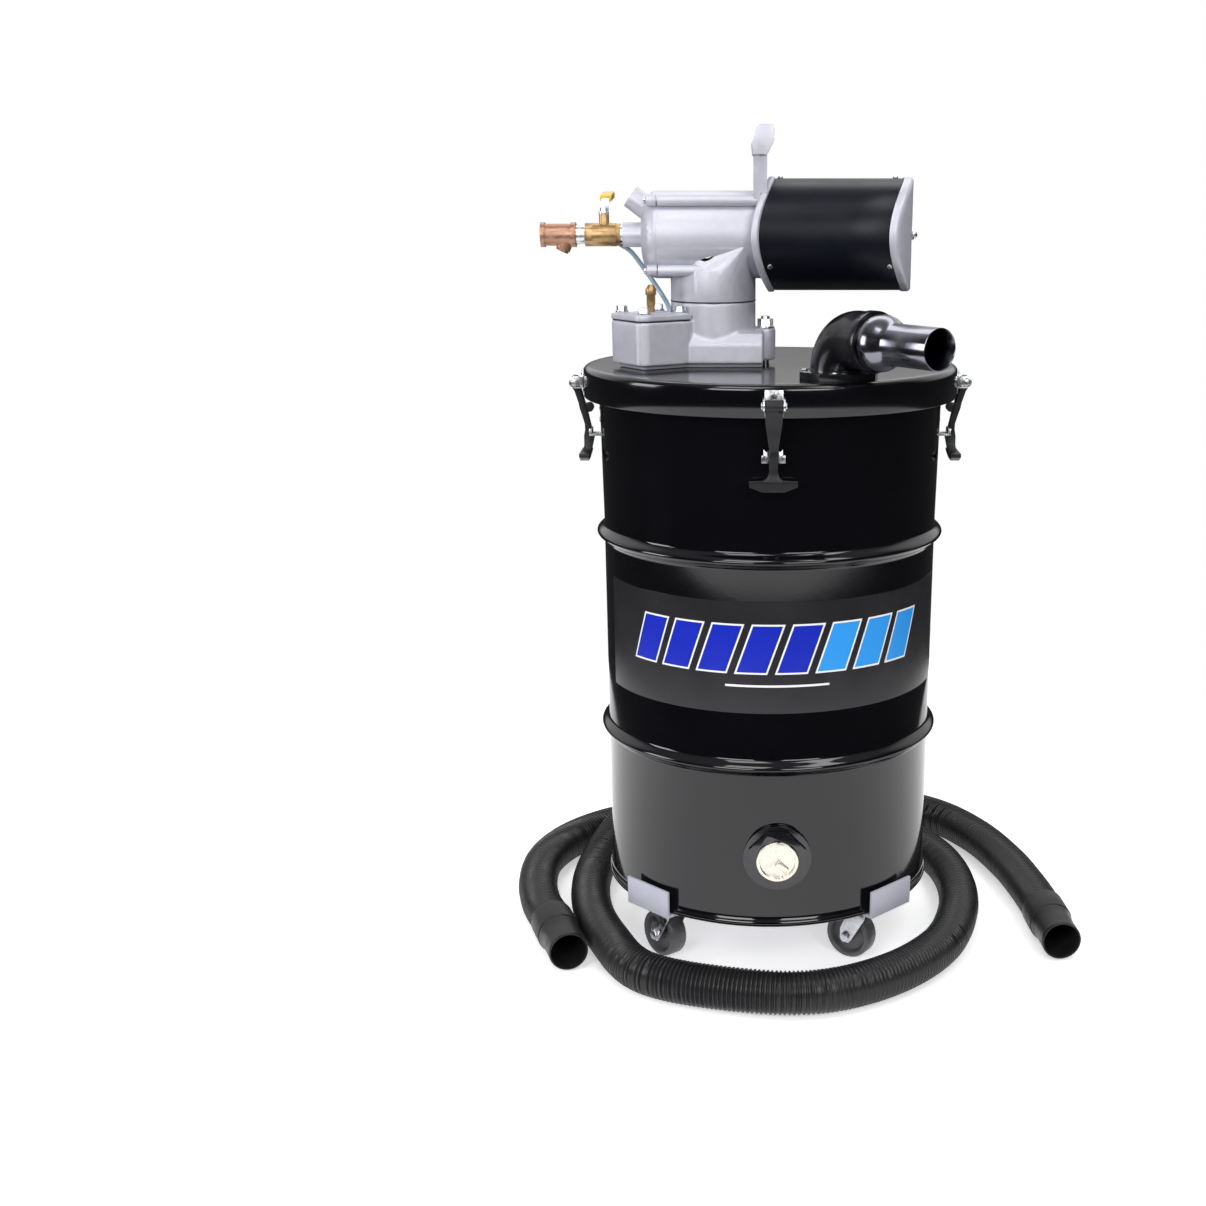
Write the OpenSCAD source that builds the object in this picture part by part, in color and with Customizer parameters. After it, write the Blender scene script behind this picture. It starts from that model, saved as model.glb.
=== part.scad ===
// Air-driven drum vacuum: a venturi suction head on the lid of an open-head steel drum,
// standing on a wheeled cross dolly, with its suction hose lying round the base.
// The drum axis is Z, the floor is z = 0, the air line points along -X and the muffler along +X.

/* [Drum] */
// Outside diameter of the drum body
drum_d = 466; // [462:1:468]
// Sheet thickness of the drum
drum_wall = 1.4; // [1:0.1:2]
// Height of the drum from its bottom chime to its rolled top edge
drum_h = 734.5; // [733:0.5:736]
// How far the rolling hoops stand out from the body
hoop_out = 10.5; // [6:0.5:11]
// Half of the height of one rolling hoop
hoop_half = 13; // [10:1:16]
// Width of the black label round the front
label_h = 152; // [120:1:180]

/* [Dolly] */
// Height of the drum bottom above the floor
drum_z = 95; // [94:1:97]
// Width of the two flat dolly bars
bar_w = 84; // [70:1:90]
// Thickness of the dolly bars and their upturned lips
bar_t = 4.5; // [4:0.5:5]
// Height of the upturned lips above the bars
lip_h = 36; // [25:1:45]
// Distance of each caster from the drum axis
caster_r = 195; // [190:1:198]
// Diameter of the caster wheels
wheel_d = 70; // [68:1:70]
// Width of the caster wheels
wheel_w = 28; // [24:1:29]
// How far the wheel axle trails behind the swivel axis
trail = 20; // [18:1:22]

/* [Lid] */
// Outside diameter of the lid skirt
lid_d = 513.4; // [512:0.2:515]
// Height of the lid skirt
skirt_h = 41; // [36:1:44]
// Sheet thickness of the lid
lid_t = 2.5; // [2:0.1:3]
// Height of the strap pins above the floor
pin_z = 812; // [811:1:813]
// Distance of the strap pins from the drum axis
pin_r = 269; // [268.5:0.5:270]

/* [Suction head] */
// Height of the barrel axis above the floor
head_z = 1006; // [1004:1:1008]
// Outside diameter of the barrel
barrel_d = 113; // [110:1:114]
// Outside diameter of the upright neck
neck_d = 115; // [112:1:116]
// Distance of the neck axis to the left of the drum axis
neck_x = 78; // [76:1:80]
// Outside radius of the round muffler cover
muffler_r = 72; // [70:1:73]
// Radius of the curve, seen from above, that the muffler's seams and end face follow
sweep_r = 125; // [120:1:135]
// Thickness of the sheet-metal muffler cover
cover_t = 2; // [1.5:0.5:2.5]
// Highest point of the carrying handle above the floor
handle_top = 1144; // [1140:1:1150]

/* [Hose and inlet] */
// Outside diameter of the corrugated suction hose
hose_od = 61; // [58:1:61]
// Outside diameter of the suction inlet stub
stub_d = 50.8; // [50:0.2:51]
// Direction of the suction inlet, turned clockwise from +X
inlet_turn = 54; // [50:1:58]

/* [Hidden] */
$fn = 64;

// Drum and lid levels
drum_r = drum_d / 2;
drum_top = drum_z + drum_h;
chime_r = drum_r + 5;
curl_r = 5.5;
curl_axis_r = drum_r + 4;
hoops_z = [327, 608.6];
lid_gasket_t = 4;
lid_under = drum_top + lid_gasket_t;
lid_top = lid_under + lid_t;
lid_r = lid_d / 2;
lid_edge = 8;
skirt_low = lid_top - skirt_h;
label_top = 556;
label_t = 0.6;
label_from = -68;
label_to = 76;

// Dolly and casters: corner direction, name order fl, fr, bl, br, and the way each wheel trails
corners = [225, 315, 135, 45];
trail_dirs = [131, 147, 200, 60];
bar_z = drum_z - bar_t;
lip_in = chime_r + 2;
plate_t = 3;
crown_low = 74;
crown_high = 78.7;
swivel_gap = 0.3;
kingpin_r = 5;
axle_r = 4;
fork_in = 16;
leg_t = 2.5;
running = 0.05;

// Drain port on the drum front
drain_x = 9;
drain_z = 199;
drain_bore = 26;

// Latches: the four radial directions, the gap between the keeper ears and what passes through it
latch_dirs = [-90, 0, 90, 180];
ear_gap = 13;
ear_r = 251;
strap_w = 22;
pin_d = 6;

// Lid ports
port_r = 36;
elbow_x = 84;
elbow_y = -178;
elbow_z = 885;
elbow_bore = 31;

// Base casting and float chamber: its rim stands clear of the lid on an inset foot
base_low = 842;
foot_inset = 9;
chamber_x = -160.5;
chamber_y = -46;
chamber_turn = -10;
chamber_across = 108;
chamber_nose = 14;
chamber_top = 898;
cover_low = 899.5;
cover_high = 906.5;
pad_high = 908.5;
bolt_ring = 40;
neck_relief = 1;
lug_x = -7;
lug_top = 884;
neck_split = 921.5;
neck_bore = 50;

// Head, measured along the barrel
cap_joint = -152;
cap_face = -174;
boss_end = -199;
flange_left = -4;
cover_left = 5;
cover_right = 176;
ridge = 189;
tie_r = 63;
rib_r = 7.5;
boss_run = -92;
barrel_bore = 50;
// Upper edge of the neck's fairing on the barrel: along the barrel, half width, height from its axis
fairing_edge = [[-99, 46.4, -33], [-38, 55, -15], [-33, 50.6, -26]];
// End view of the handle's grip: along the barrel and height above the floor
grip_outline = [[-25.2, 1107], [-26.5, 1121.5], [-20, 1141], [-16, handle_top], [0.2, handle_top],
                [2.9, 1137], [2.3, 1123], [-5, 1109], [-7, 1107]];

// Air line along -X from the cap boss
pipe_r = 12.1;
valve_left = -250;
valve_right = -202;
stem_x = -224;
ball_r = 10;
strainer_left = -309.5;
strainer_right = -262;
branch_x = -272;
branch_turn = 205;
branch_len = 20.5;

// Float in its cage under the lid port
float_r = 39.5;
cage_floor = 690;
float_z = cage_floor + 3 + float_r;
filter_low = 600;

// Suction hose: hand-chosen points on its centre line, from the left cuff to the right cuff
hose_level = 31;
hose_route = [[-321, -80, 32], [-343, -20, 31], [-358, 60, 31], [-356, 150, 31], [-322, 235, 31],
              [-255, 305, 31], [-160, 345, 31], [-50, 350, 31], [60, 335, 31], [160, 300, 31],
              [240, 235, 31], [282, 150, 31], [296, 50, 31], [285, -55, 31], [245, -165, 31],
              [165, -255, 31], [60, -305, 31], [-60, -295, 31], [-175, -246, 31], [-231, -144, 31],
              [-266, -28, 31], [-272, 95, 36], [-240, 210, 60], [-185, 300, 93], [-110, 352, 96],
              [-20, 398, 62], [90, 420, 34], [200, 405, 31], [295, 345, 31], [355, 250, 31],
              [390, 140, 31], [407, 40, 32], [416, -40, 32]];
cuff_r = 32;
tip_r = 28.5;
cuff_bore = 25.5;
left_cuff_at = hose_route[0];
right_cuff_at = hose_route[len(hose_route) - 1];
left_cuff_turn = -71.5;
right_cuff_turn = -86;

// Pilot air tube from behind the valve down into the chamber cover
pilot_route = [[-205, 9, 994], [-190, 14, 984], [-176.5, 18, 967], [-162, 16, 947], [-149, 4, 929.5],
               [-140.5, -9, 917], [-137.5, -14.5, 909], [-137.5, -14.5, 903.5]];
pilot_end = pilot_route[len(pilot_route) - 1];

// ---------- shared shapes ----------

// Catmull-Rom curve through hand-chosen points, n samples for each stretch
function spline_at(a, b, c, d, t) =
    0.5 * ((2 * b) + (c - a) * t + (2 * a - 5 * b + 4 * c - d) * t * t
           + (3 * b - a - 3 * c + d) * t * t * t);
function spline(p, n) = concat(
    [for (i = [0 : len(p) - 2]) for (k = [0 : n - 1])
        spline_at(i == 0 ? 2 * p[0] - p[1] : p[i - 1], p[i], p[i + 1],
                  i + 2 > len(p) - 1 ? 2 * p[i + 1] - p[i] : p[i + 2], k / n)],
    [p[len(p) - 1]]);
function unit(v) = v / norm(v);
function tangent(p, i) = unit(p[min(i + 1, len(p) - 1)] - p[max(i - 1, 0)]);

// A round tube swept along a path; ref is any direction the path never runs along
module swept(path, r, sides, ref = [0, 0, 1]) {
    n = len(path);
    rings = [for (i = [0 : n - 1])
             let (t = tangent(path, i), u = unit(cross(ref, t)), w = cross(t, u))
             for (k = [0 : sides - 1])
             let (a = 360 * k / sides) path[i] + r * (cos(a) * u + sin(a) * w)];
    walls = [for (i = [0 : n - 2]) for (k = [0 : sides - 1])
             let (j = (k + 1) % sides)
             [i * sides + k, (i + 1) * sides + k, (i + 1) * sides + j, i * sides + j]];
    start = [[for (k = [0 : sides - 1]) k]];
    end = [[for (k = [0 : sides - 1]) (n - 1) * sides + sides - 1 - k]];
    polyhedron(rings, concat(walls, start, end));
}

// Cylinder along X from x0 to x1
module bar_x(x0, x1, r) {
    translate([x0, 0, 0]) rotate([0, 90, 0]) cylinder(r = r, h = x1 - x0);
}

// Cylinder along Y, centred on y = 0
module bar_y(len_y, r) {
    rotate([90, 0, 0]) cylinder(r = r, h = len_y, center = true);
}

// Hexagonal prism standing on z = 0, size across its flats
module hex(flats, h) {
    cylinder(d = flats / cos(30), h = h, $fn = 6);
}

// Four-cornered outline with round noses; across is measured corner to corner
module quad_2d(across, nose) {
    c = across / 2 - nose;
    t = nose * sin(45);
    polygon([[c + t, t], [t, c + t], [-t, c + t], [-c - t, t],
             [-c - t, -t], [-t, -c - t], [t, -c - t], [c + t, -t]]);
    for (a = [0, 90, 180, 270]) rotate(a) translate([c, 0]) rotate(180) circle(r = nose);
}

// Tall slab swept back to both sides: x0 and x1 are its left and right faces on the barrel axis
module swept_slab(x0, x1) {
    translate([0, 0, head_z - 90]) intersection() {
        difference() {
            translate([x1 - sweep_r, 0, 0]) cylinder(r = sweep_r, h = 180);
            translate([x0 - sweep_r, 0, -1]) cylinder(r = sweep_r, h = 182);
        }
        translate([x0 - 60, -85, -2]) cube([x1 - x0 + 61, 170, 184]);
    }
}

// Round piece of the muffler between two swept faces, its wall moved outwards by grow
module muffler_piece(x0, x1, grow = 0) {
    intersection() {
        translate([0, 0, head_z]) bar_x(x0 - 40, x1 + 10, muffler_r + grow);
        swept_slab(x0, x1);
    }
}

// Places its children on each muffler screw, with the screw axis along +Z pointing outwards
module at_muffler_screws() {
    for (x = [11.8, 165.2]) translate([x, 0, head_z + muffler_r]) children();
    for (x = [-2.2, 155]) for (a = [122, -122])
        translate([x, 0, head_z]) rotate([a, 0, 0]) translate([0, 0, muffler_r]) children();
}

// Places its children on each barrel tie screw axis, level with the end of the cap
module at_ties() {
    for (a = [45, 135, 225, 315])
        translate([0, tie_r * cos(a), head_z + tie_r * sin(a)]) children();
}

// Places its children at a drum corner, then turns them to the way that caster trails
module at_caster(i) {
    translate([caster_r * cos(corners[i]), caster_r * sin(corners[i]), 0])
        rotate([0, 0, trail_dirs[i]]) children();
}

// Places its children in each latch's own frame: x outwards from the drum axis
module at_latches() {
    for (a = latch_dirs) rotate([0, 0, a]) children();
}

// Places its children on the chamber's four bolts
module at_chamber_bolts() {
    for (a = [0, 90, 180, 270])
        translate([chamber_x, chamber_y, 0]) rotate([0, 0, chamber_turn + a])
            translate([bolt_ring, 0, 0]) children();
}

// ---------- dolly and casters ----------

module dolly_frame() {
    color("lightsteelblue") {
        for (a = [45, 135]) rotate([0, 0, a])
            translate([0, 0, bar_z + bar_t / 2]) cube([2 * lip_in, bar_w, bar_t], center = true);
        for (a = corners) rotate([0, 0, a])
            translate([lip_in, -bar_w / 2, bar_z]) cube([bar_t, bar_w, bar_t + lip_h]);
    }
}

module caster_plates() {
    color("silver") for (i = [0 : 3]) at_caster(i) {
        translate([0, 0, bar_z - plate_t / 2]) cube([60, 50, plate_t], center = true);
        translate([0, 0, crown_high + swivel_gap])
            cylinder(r = 17, h = bar_z - plate_t - crown_high - swivel_gap);
        translate([0, 0, crown_low - swivel_gap - 2]) cylinder(r = kingpin_r, h = 12);
        translate([0, 0, crown_low - swivel_gap - 3.4]) cylinder(r = 8.5, h = 3.4);
    }
}

// Swivel fork with its axle bolt, trailing along +X from the swivel axis
module caster_fork(i) {
    axle_z = wheel_d / 2;
    color("silver") at_caster(i) {
        difference() {
            union() {
                translate([0, 0, crown_low]) cylinder(r = 18.5, h = crown_high - crown_low);
                for (s = [-1, 1]) translate([0, s * (fork_in + leg_t / 2), 0]) rotate([90, 0, 0])
                    linear_extrude(leg_t, center = true)
                        polygon([[-12, crown_high], [-9, crown_low - 8],
                                 [trail - 9, axle_z - 4], [trail - 5, axle_z - 9],
                                 [trail + 5, axle_z - 9], [trail + 9, axle_z - 4],
                                 [trail + 9, axle_z + 12], [15, crown_high]]);
            }
            translate([0, 0, crown_low - 1]) cylinder(r = kingpin_r + running, h = 10);
            translate([trail, 0, axle_z]) bar_y(60, axle_r + 0.1);
        }
        translate([trail, 0, axle_z]) bar_y(2 * (fork_in + leg_t) + 6, axle_r);
        translate([trail, fork_in + leg_t + 0.1, axle_z]) rotate([-90, 0, 0]) hex(12, 4);
        translate([trail, -fork_in - leg_t - 0.1, axle_z]) rotate([90, 0, 0]) hex(12, 5);
    }
}

module caster_wheel(i) {
    r = wheel_d / 2;
    h = wheel_w / 2;
    color("dimgray") at_caster(i) translate([trail, 0, r]) rotate([90, 0, 0]) rotate_extrude()
        polygon([[axle_r + running, -h - 1.7], [9, -h - 1.7], [10, -5], [24, -5], [27, -h + 1], [30, -h],
                 [r - 1.5, -h + 1], [r, -h + 5], [r, h - 5], [r - 1.5, h - 1], [30, h], [27, h - 1],
                 [24, 5], [10, 5], [9, h + 1.7], [axle_r + running, h + 1.7]]);
}
module caster_fork_fl() { caster_fork(0); }
module caster_fork_fr() { caster_fork(1); }
module caster_fork_bl() { caster_fork(2); }
module caster_fork_br() { caster_fork(3); }
module caster_wheel_fl() { caster_wheel(0); }
module caster_wheel_fr() { caster_wheel(1); }
module caster_wheel_bl() { caster_wheel(2); }
module caster_wheel_br() { caster_wheel(3); }

// ---------- drum ----------

// Outline of the drum wall from bottom to top, moved inwards by inset
function wall_points(inset) = concat(
    [[drum_r - inset, drum_z + 12]],
    [for (z = hoops_z) for (k = [-6 : 6])
        [drum_r - inset + hoop_out * (1 + cos(30 * k)) / 2, z + hoop_half * k / 6]],
    [[drum_r - inset, drum_top - curl_r]]);
function reversed(p) = [for (i = [len(p) - 1 : -1 : 0]) p[i]];

module drum_shell() {
    bottom = drum_z + 12;
    color("black") difference() {
        union() {
            rotate_extrude($fn = 96) polygon(concat(wall_points(0), reversed(wall_points(drum_wall))));
            rotate_extrude($fn = 96)
                polygon([[0, bottom], [drum_r, bottom],
                         [drum_r, bottom + drum_wall], [0, bottom + drum_wall]]);
            rotate_extrude($fn = 96)
                polygon([[drum_r - 3, drum_z], [chime_r - 1.5, drum_z], [chime_r, drum_z + 1.5],
                         [chime_r, drum_z + 6], [chime_r - 2, drum_z + 8], [drum_r, drum_z + 13],
                         [drum_r - 3, drum_z + 13]]);
            rotate_extrude($fn = 96)
                translate([curl_axis_r, drum_top - curl_r]) circle(r = curl_r, $fn = 24);
        }
        translate([drain_x, 0, drain_z]) rotate([90, 0, 0]) cylinder(r = drain_bore + 3.7, h = drum_r + 40);
    }
}

module drum_label() {
    z0 = label_top - label_h;
    color("darkslategray") rotate([0, 0, label_from - 90])
        rotate_extrude(angle = label_to - label_from, $fn = 96)
            translate([drum_r, z0]) square([label_t, label_h]);
}

module drain_flange() {
    color("black") translate([drain_x, 0, drain_z]) rotate([90, 0, 0]) difference() {
        union() {
            difference() {
                translate([0, 0, 210]) cylinder(r = 46.5, h = 29);
                rotate([90, 0, 0]) translate([-drain_x, 0, -100]) cylinder(r = drum_r, h = 200, $fn = 96);
            }
            translate([0, 0, 222]) cylinder(r = drain_bore + 3.7, h = 17);
            translate([0, 0, 238]) rotate([0, 0, 22.5]) cylinder(d = 77 / cos(22.5), h = 10, $fn = 8);
        }
        translate([0, 0, 200]) cylinder(r = drain_bore, h = 60);
        for (s = [-1, 1]) translate([s * 42, 0, 238.9]) cylinder(r = 2, h = 4);
    }
}

module drain_cap() {
    color("tan") translate([drain_x, 0, drain_z]) rotate([90, 0, 0]) {
        difference() {
            union() {
                translate([0, 0, 228]) cylinder(r = drain_bore - 0.1, h = 21);
                translate([0, 0, 248]) cylinder(r = 28.5, h = 5);
            }
            translate([0, 0, 249.5]) cylinder(r = 24, h = 10);
        }
        translate([6, -8, 249.5]) rotate([0, 0, -40]) translate([-9, -4, 0]) cube([18, 8, 3]);
    }
}

module latch_keepers() {
    color("silver") at_latches() {
        intersection() {
            difference() {
                cylinder(r = drum_r + 2, h = 790, $fn = 96);
                translate([0, 0, -1]) cylinder(r = drum_r, h = 800, $fn = 96);
            }
            translate([200, -12, 738.5]) cube([60, 24, 50.5]);
        }
        for (s = [-1, 1]) translate([drum_r + 1.6, s * (ear_gap / 2 + 4.25) - 4.25, 739]) {
            cube([ear_r - drum_r - 1.6, 8.5, 2.2]);
            translate([ear_r - drum_r - 5.1, 0, 0]) cube([3.5, 8.5, 9.5]);
        }
    }
}

module keeper_rivets() {
    color("silver") at_latches() for (z = [760, 776])
        translate([drum_r + 2, 0, z]) rotate([0, 90, 0]) cylinder(r1 = 4.5, r2 = 3.5, h = 2);
}

// ---------- hose ----------

module suction_hose() {
    color("black") swept(spline(hose_route, 2), hose_od / 2, 12);
}

// Moulded end cuff along +X from its hose joint, open at its mouth
module hose_cuff() {
    color("black") rotate([0, 90, 0]) difference() {
        union() {
            cylinder(r = cuff_r, h = 52);
            translate([0, 0, 50]) cylinder(r = cuff_r - 1.5, h = 6);
            cylinder(r = tip_r, h = 112);
        }
        translate([0, 0, 3]) cylinder(r = cuff_bore, h = 120);
    }
}
module hose_cuff_left() { translate(left_cuff_at) rotate([0, 0, left_cuff_turn]) hose_cuff(); }
module hose_cuff_right() { translate(right_cuff_at) rotate([0, 0, right_cuff_turn]) hose_cuff(); }

// ---------- lid and latches ----------

module lid_cover() {
    edge_r = lid_r - lid_edge;
    edge_z = lid_top - lid_edge;
    outer = [for (a = [0 : 10 : 90]) [edge_r + lid_edge * cos(a), edge_z + lid_edge * sin(a)]];
    inner = [for (a = [90 : -15 : 0])
             [edge_r + (lid_edge - lid_t) * cos(a), edge_z + (lid_edge - lid_t) * sin(a)]];
    color("black") difference() {
        rotate_extrude($fn = 128)
            polygon(concat([[lid_r, skirt_low]], outer, [[0, lid_top], [0, lid_under]],
                           inner, [[lid_r - lid_t, skirt_low]]));
        translate([-neck_x, 0, lid_under - 5]) cylinder(r = port_r, h = 20);
        translate([elbow_x, elbow_y, lid_under - 5]) cylinder(r = elbow_bore, h = 20);
    }
}

module lid_gasket() {
    color("dimgray") rotate_extrude($fn = 96) translate([drum_r - 4, drum_top]) square([14, lid_gasket_t]);
}

module latch_brackets() {
    color("silver") at_latches() {
        intersection() {
            difference() {
                cylinder(r = lid_r + 2, h = 830, $fn = 128);
                translate([0, 0, -1]) cylinder(r = lid_r, h = 840, $fn = 128);
            }
            translate([220, -11.5, 797]) cube([60, 23, 33]);
        }
        for (s = [-1, 1]) difference() {
            union() {
                translate([lid_r + 1.5, s * 12.75 - 1.25, pin_z - 8]) cube([pin_r - lid_r - 1.5, 2.5, 16]);
                translate([pin_r, s * 12.75, pin_z]) bar_y(2.5, 8);
                translate([lid_r + 0.4, s * 12.75 - 1.25, pin_z - 8]) cube([3, 2.5, 16]);
            }
            translate([pin_r, s * 12.75, pin_z]) bar_y(8, pin_d / 2);
        }
        translate([lid_r + 2, 0, 824]) rotate([0, 90, 0]) cylinder(r1 = 4.5, r2 = 3.5, h = 2);
    }
}

module latch_pins() {
    color("gray") at_latches() translate([pin_r, 0, pin_z]) {
        bar_y(30, pin_d / 2);
        for (s = [-1, 1]) translate([0, s * 15, 0]) bar_y(2, 4.5);
    }
}

// Rubber pull strap in its latch's own frame
module latch_strap() {
    color("black") difference() {
        union() {
            translate([pin_r, 0, pin_z]) bar_y(strap_w, 7.8);
            intersection() {
                rotate([90, 0, 0]) linear_extrude(80, center = true)
                    polygon([[276, 809], [270, 800], [265, 784], [263.7, 776], [261, 767], [257.5, 754],
                             [257.3, 746], [259, 738], [259.2, 724], [261, 717], [264.5, 716],
                             [264, 704.5], [252.3, 704.5],
                             [249.5, 717], [247, 726], [244.2, 738], [247, 740], [249, 752], [252.5, 767],
                             [257, 784], [261.5, 800], [262.5, 809]]);
                rotate([90, 0, 90]) linear_extrude(300)
                    polygon([[11, 812], [10.5, 790], [5.5, 755], [5.5, 728], [8, 721], [13, 717],
                             [30.5, 716], [30.5, 711], [14, 704.5], [-14, 704.5], [-30.5, 711],
                             [-30.5, 716], [-13, 717], [-8, 721], [-5.5, 728],
                             [-5.5, 755], [-10.5, 790], [-11, 812]]);
            }
            translate([250.9, 0, 777]) bar_y(11, 6.4);
            translate([254, -5.5, 771.5]) cube([6, 11, 11]);
        }
        translate([pin_r, 0, pin_z]) bar_y(60, pin_d / 2 + running);
    }
}
module latch_strap_front() { rotate([0, 0, latch_dirs[0]]) latch_strap(); }
module latch_strap_right() { rotate([0, 0, latch_dirs[1]]) latch_strap(); }
module latch_strap_back() { rotate([0, 0, latch_dirs[2]]) latch_strap(); }
module latch_strap_left() { rotate([0, 0, latch_dirs[3]]) latch_strap(); }

// ---------- base casting and float chamber ----------

// Outline of the float chamber seen from above, moved outwards by grow
module chamber_outline(grow) {
    translate([chamber_x, chamber_y]) rotate(chamber_turn)
        quad_2d(chamber_across + 2 * grow, chamber_nose + grow);
}

// The space that the round neck takes beside the chamber's cover
module neck_clearance() {
    translate([-neck_x, 0, chamber_top - 5]) cylinder(r = neck_d / 2 + neck_relief, h = 40);
}

module base_casting() {
    color("gainsboro") difference() {
        union() {
            translate([0, 0, base_low]) linear_extrude(chamber_top - base_low) chamber_outline(0);
            translate([0, 0, lid_top]) linear_extrude(base_low + 1 - lid_top) chamber_outline(-foot_inset);
            translate([-130, 0, 0]) rotate([90, 0, 90]) linear_extrude(119)
                polygon([[-62, base_low], [62, base_low], [62, 867], [50, 881], [-50, 881], [-62, 867]]);
            translate([-130, foot_inset - 62, lid_top])
                cube([119, 124 - 2 * foot_inset, base_low + 1 - lid_top]);
            translate([-neck_x, 0, base_low]) cylinder(r = neck_d / 2, h = neck_split - 1.5 - base_low);
            translate([lug_x, 0, base_low]) cylinder(r = 14, h = lug_top - base_low);
            translate([lug_x - 14, -14, base_low]) cube([14, 28, lug_top - base_low]);
        }
        translate([-neck_x, 0, lid_top - 1]) cylinder(r = port_r, h = 30);
        translate([-neck_x, 0, 850]) cylinder(r = neck_bore, h = 90);
        translate([chamber_x, chamber_y, 848]) cylinder(r = 34, h = 80);
        at_chamber_bolts() translate([0, 0, chamber_top - 18]) cylinder(r = 3.4, h = 30);
        translate([lug_x, 0, lid_top - 1]) cylinder(r = 6, h = 80);
    }
}

module base_nut() {
    color("silver") translate([lug_x, 0, 0]) {
        translate([0, 0, lug_top]) cylinder(r = 12.5, h = 2.5);
        translate([0, 0, lug_top + 2.5]) hex(19, 10);
        translate([0, 0, lid_top]) cylinder(r = 5.9, h = 64);
    }
}

module chamber_gasket() {
    color("dimgray") difference() {
        translate([0, 0, chamber_top]) linear_extrude(cover_low - chamber_top) chamber_outline(-0.8);
        translate([chamber_x, chamber_y, chamber_top - 1]) cylinder(r = 34, h = 10);
        at_chamber_bolts() translate([0, 0, chamber_top - 1]) cylinder(r = 3.4, h = 10);
        neck_clearance();
    }
}

module chamber_cover() {
    color("gainsboro") difference() {
        union() {
            translate([0, 0, cover_low]) linear_extrude(cover_high - cover_low) chamber_outline(0.5);
            translate([chamber_x, chamber_y, cover_high - 1]) rotate([0, 0, chamber_turn])
                linear_extrude(3) quad_2d(56, 7);
            at_chamber_bolts()
                translate([0, 0, cover_high - 1]) cylinder(r = 9.5, h = pad_high - cover_high + 1);
        }
        at_chamber_bolts() translate([0, 0, cover_low - 1]) cylinder(r = 3.4, h = 12);
        translate([chamber_x, chamber_y, cover_low - 1]) cylinder(r = 4, h = 12);
        translate([pilot_end[0], pilot_end[1], cover_low - 1]) cylinder(r = 4.2, h = 12);
        neck_clearance();
    }
}

module chamber_bolts() {
    color("silver") at_chamber_bolts() translate([0, 0, pad_high]) {
        cylinder(r = 8.5, h = 1.5);
        translate([0, 0, 1.5]) hex(13, 6);
        translate([0, 0, -22]) cylinder(r = 3.3, h = 22);
    }
}

module neck_gasket() {
    color("black") translate([-neck_x, 0, neck_split - 1.5]) difference() {
        cylinder(r = neck_d / 2 + 0.4, h = 1.5);
        translate([0, 0, -1]) cylinder(r = neck_bore, h = 5);
    }
}

// ---------- venturi head ----------

module venturi_housing() {
    low = neck_split + 22;
    color("gainsboro") difference() {
        union() {
            translate([0, 0, head_z]) bar_x(cap_joint, flange_left + 2, barrel_d / 2);
            translate([-neck_x, 0, neck_split]) cylinder(r = neck_d / 2, h = head_z - 45 - neck_split);
            hull() {
                translate([-neck_x, 0, low]) cylinder(r = neck_d / 2, h = 1, $fn = 40);
                for (p = fairing_edge)
                    translate([p[0], 0, head_z + p[2]]) cube([2, 2 * p[1], 1], center = true);
            }
            at_ties() bar_x(cap_joint + 1.5, boss_run, rib_r);
            for (a = [45, 135]) translate([0, tie_r * cos(a), head_z + tie_r * sin(a)])
                bar_x(cap_joint + 1.5, -8, rib_r);
            for (a = [225, 315])
                translate([boss_run, tie_r * cos(a), head_z + tie_r * sin(a)]) sphere(r = rib_r);
        }
        translate([0, 0, head_z]) bar_x(cap_joint - 1, 60, barrel_bore);
        translate([-neck_x, 0, neck_split - 1]) cylinder(r = neck_bore, h = head_z - neck_split);
        at_ties() bar_x(cap_joint - 1, cap_joint + 24, 2.6);
        swept_slab(flange_left, 60);
    }
}

module end_cap() {
    dome = [for (a = [0 : 10 : 90]) [18 + 38.5 * cos(a), 2 + 20 * sin(a)]];
    slant = atan2(0.6, 0.8);
    color("gainsboro") difference() {
        union() {
            translate([cap_joint, 0, head_z]) rotate([0, -90, 0])
                rotate_extrude()
                    polygon(concat([[0, 0], [barrel_d / 2, 0], [barrel_d / 2, 2]], dome, [[0, 22]]));
            translate([0, 0, head_z]) bar_x(boss_end, cap_face + 6, 16);
            translate([-188, 0, 1055.5]) rotate([0, 90 + slant, 0]) cylinder(r = 15.2, h = 32);
            at_ties() bar_x(cap_joint - 13, cap_joint, rib_r);
        }
        difference() {
            translate([0, 0, head_z]) bar_x(cap_joint - 10, cap_joint + 1, 47);
            translate([0, 0, head_z]) bar_x(cap_joint - 20, cap_joint + 2, 18);
        }
        translate([0, 0, head_z]) bar_x(boss_end - 1, boss_end + 15, pipe_r);
        translate([0, 0, head_z]) bar_x(boss_end, cap_joint + 2, 9);
        translate([-190, 0, 1057]) rotate([0, 90 + slant, 0]) cylinder(r = 11, h = 26);
        at_ties() bar_x(cap_joint - 20, cap_joint + 2, 2.6);
    }
}

module cap_plug() {
    slant = atan2(0.6, 0.8);
    color("dimgray") translate([-188, 0, 1055.5]) rotate([0, 90 + slant, 0]) difference() {
        translate([0, 0, 3]) cylinder(r = 10.9, h = 17);
        translate([0, 0, 2]) hex(11, 9);
    }
}

module tie_screws() {
    color("silver") at_ties() {
        bar_x(cap_joint - 13, cap_joint + 22, 2.5);
        bar_x(cap_joint - 17, cap_joint - 13, 4.4);
    }
}

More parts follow.
